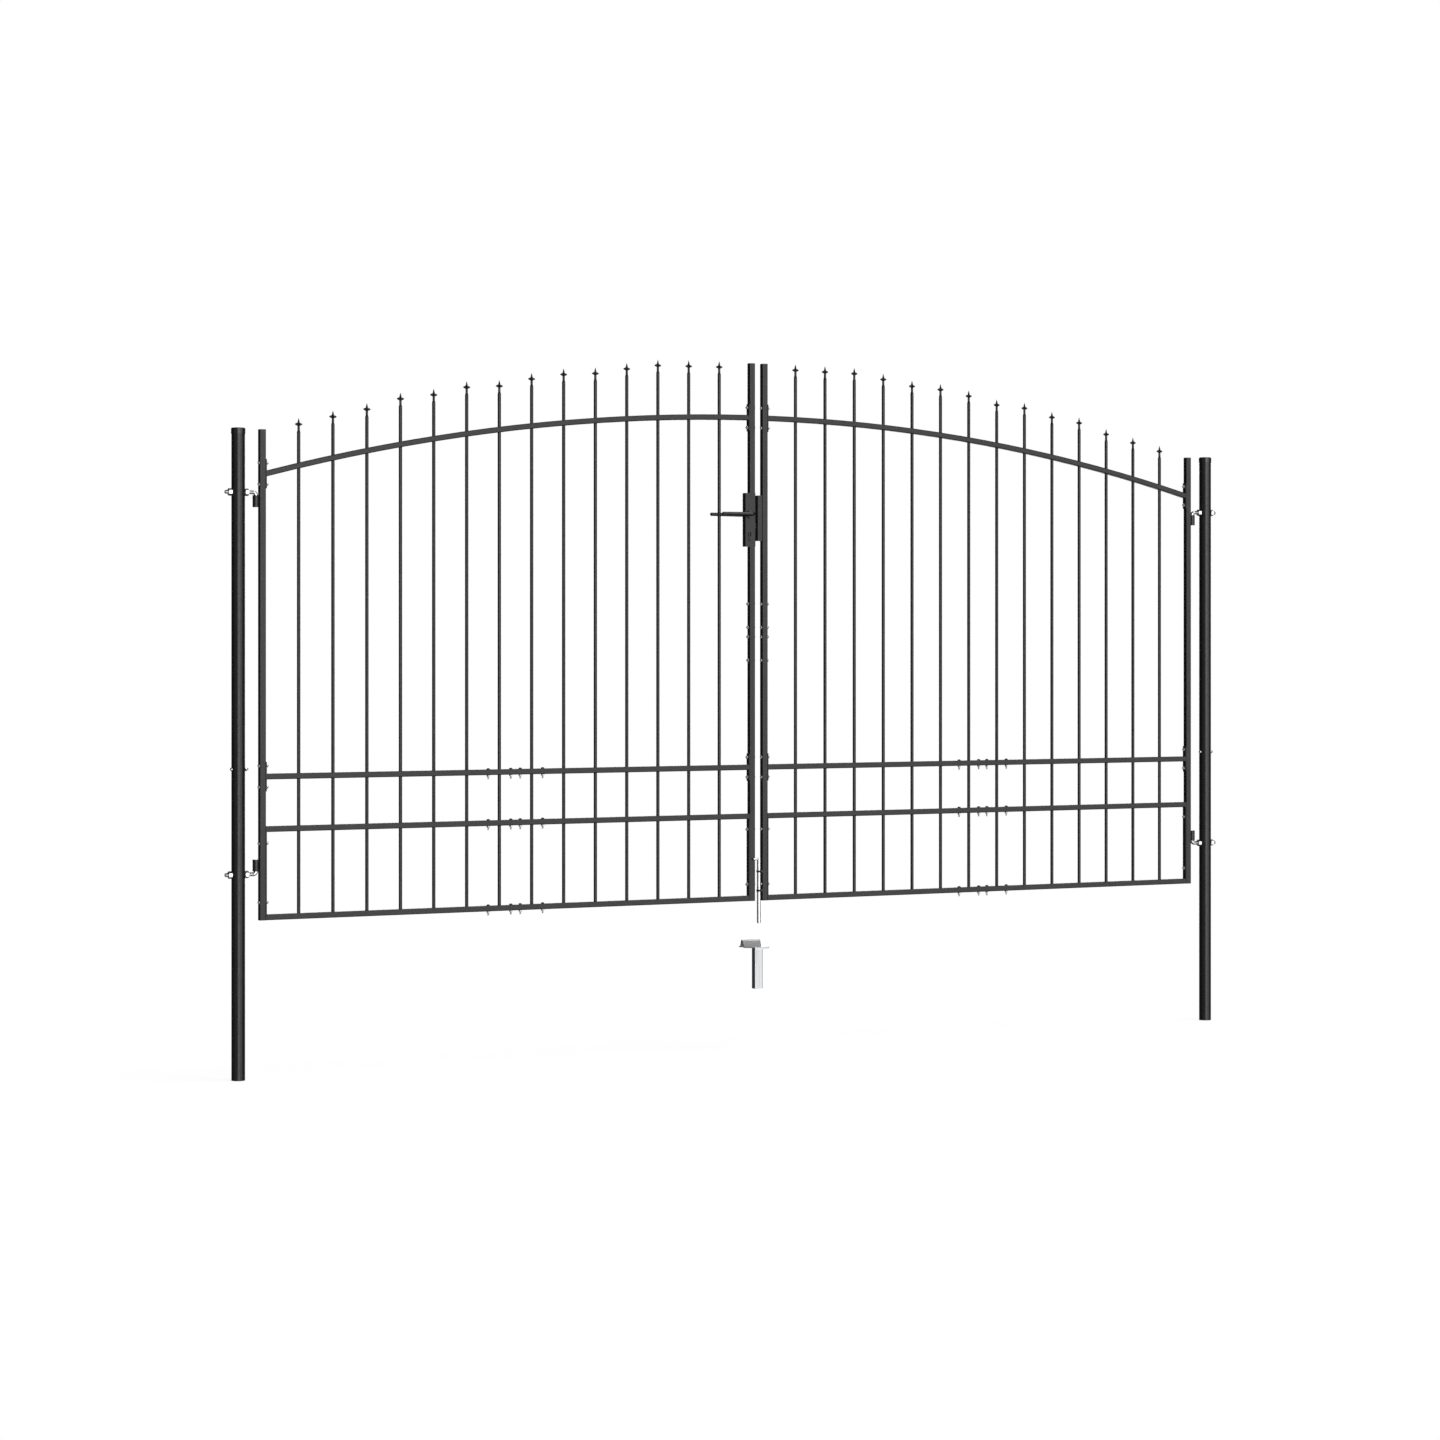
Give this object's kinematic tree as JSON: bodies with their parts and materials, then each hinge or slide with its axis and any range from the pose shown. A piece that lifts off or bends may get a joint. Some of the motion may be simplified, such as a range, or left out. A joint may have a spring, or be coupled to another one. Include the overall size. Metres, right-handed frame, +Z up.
{
  "type": "driveway gate",
  "caption": "Double-leaf black steel driveway gate with an arched top rail, spear-tipped bars, round posts, lever lock and drop bolt with ground stop.",
  "frame": {"origin": "centre of the left post's flat foot", "axes": "+X along the closed gate from the left post to the right one, +Y away from the street side, the way the leaves open, +Z up"},
  "size_m": [4.047, 0.1084, 2.4824],
  "materials": {
    "black_coat": "satin black powder coat on steel",
    "black_plastic": "matt black moulded plastic",
    "zinc": "bright zinc-plated steel",
    "galvanised": "galvanised sheet steel"
  },
  "bodies": {
    "posts": {"left_post_lower": "black_coat", "left_post_upper": "black_coat", "left_post_cap": "black_plastic", "right_post_lower": "black_coat", "right_post_upper": "black_coat", "right_post_cap": "black_plastic", "left_top_hinge_pin": "zinc", "left_bottom_hinge_pin": "zinc", "right_top_hinge_pin": "zinc", "right_bottom_hinge_pin": "zinc", "left_hinge_nuts": "zinc", "right_hinge_nuts": "zinc", "ground_stop_plate": "galvanised", "ground_stop_leg": "galvanised"},
    "left_leaf": {"left_hinge_stile": "black_coat", "left_meeting_stile_lower": "black_coat", "left_meeting_stile_upper": "black_coat", "left_outer_panel": "black_coat", "left_inner_panel": "black_coat", "left_spear_tips": "black_coat", "left_hinge_barrels": "black_coat", "left_stile_caps": "black_plastic", "lock_case": "black_coat", "lock_cylinder": "black_coat", "lock_latch": "black_coat", "lock_rosettes": "black_plastic"},
    "lock_handle": {"front_lever": "black_plastic", "back_lever": "black_plastic", "lock_spindle": "zinc"},
    "right_leaf": {"right_hinge_stile": "black_coat", "right_meeting_stile_lower": "black_coat", "right_meeting_stile_upper": "black_coat", "right_outer_panel": "black_coat", "right_inner_panel": "black_coat", "right_spear_tips": "black_coat", "right_hinge_barrels": "black_coat", "right_stile_caps": "black_plastic", "lock_keeper": "black_coat", "drop_bolt_guides": "black_coat"},
    "drop_bolt": {"drop_bolt": "zinc", "drop_bolt_handle": "zinc"}
  },
  "joints": [
    {"name": "left_leaf_swing", "type": "hinge", "parent": "posts", "child": "left_leaf", "pos_m": [0.062, 0, 0.69], "axis": [0, 0, 1], "range_deg": [0, 95]},
    {"name": "right_leaf_swing", "type": "hinge", "parent": "posts", "child": "right_leaf", "pos_m": [3.892, 0, 0.69], "axis": [0, 0, -1], "range_deg": [0, 95]},
    {"name": "lever_turn", "type": "hinge", "parent": "left_leaf", "child": "lock_handle", "pos_m": [1.9405, 0, 1.933], "axis": [0, -1, 0], "range_deg": [0, 45], "stiffness_Nm_per_rad": 1.5, "springref_deg": -28.65},
    {"name": "drop_bolt_slide", "type": "slide", "parent": "right_leaf", "child": "drop_bolt", "axis": [0, 0, 1], "range_m": [-0.105, 0.09]}
  ]
}
